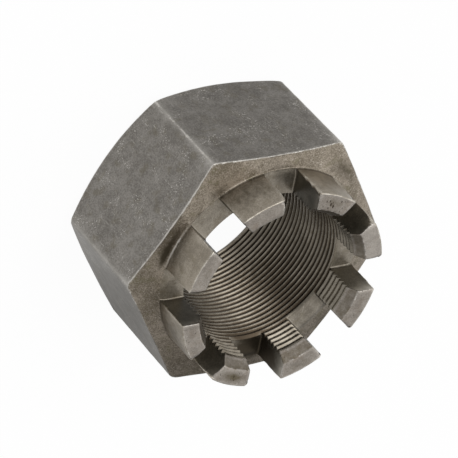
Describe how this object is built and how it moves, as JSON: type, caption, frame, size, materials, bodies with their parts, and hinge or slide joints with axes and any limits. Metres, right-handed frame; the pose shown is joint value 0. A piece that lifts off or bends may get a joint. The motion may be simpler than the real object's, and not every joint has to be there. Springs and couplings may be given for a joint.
{
  "type": "castle nut",
  "caption": "Hexagonal castle nut of plain steel with a slotted round crown and a fine metric thread, for an axle end locked by a split pin.",
  "frame": {"origin": "centre of the bearing face, on the axis of the bore", "axes": "+Z along the bore towards the crown, +X through a corner of the hexagon, +Y through the middle of a flat"},
  "size_m": [0.0746, 0.065, 0.046],
  "materials": {
    "steel": "satin, forged and turned, uncoated"
  },
  "bodies": {
    "root": {"castle_nut": "steel"}
  },
  "joints": []
}
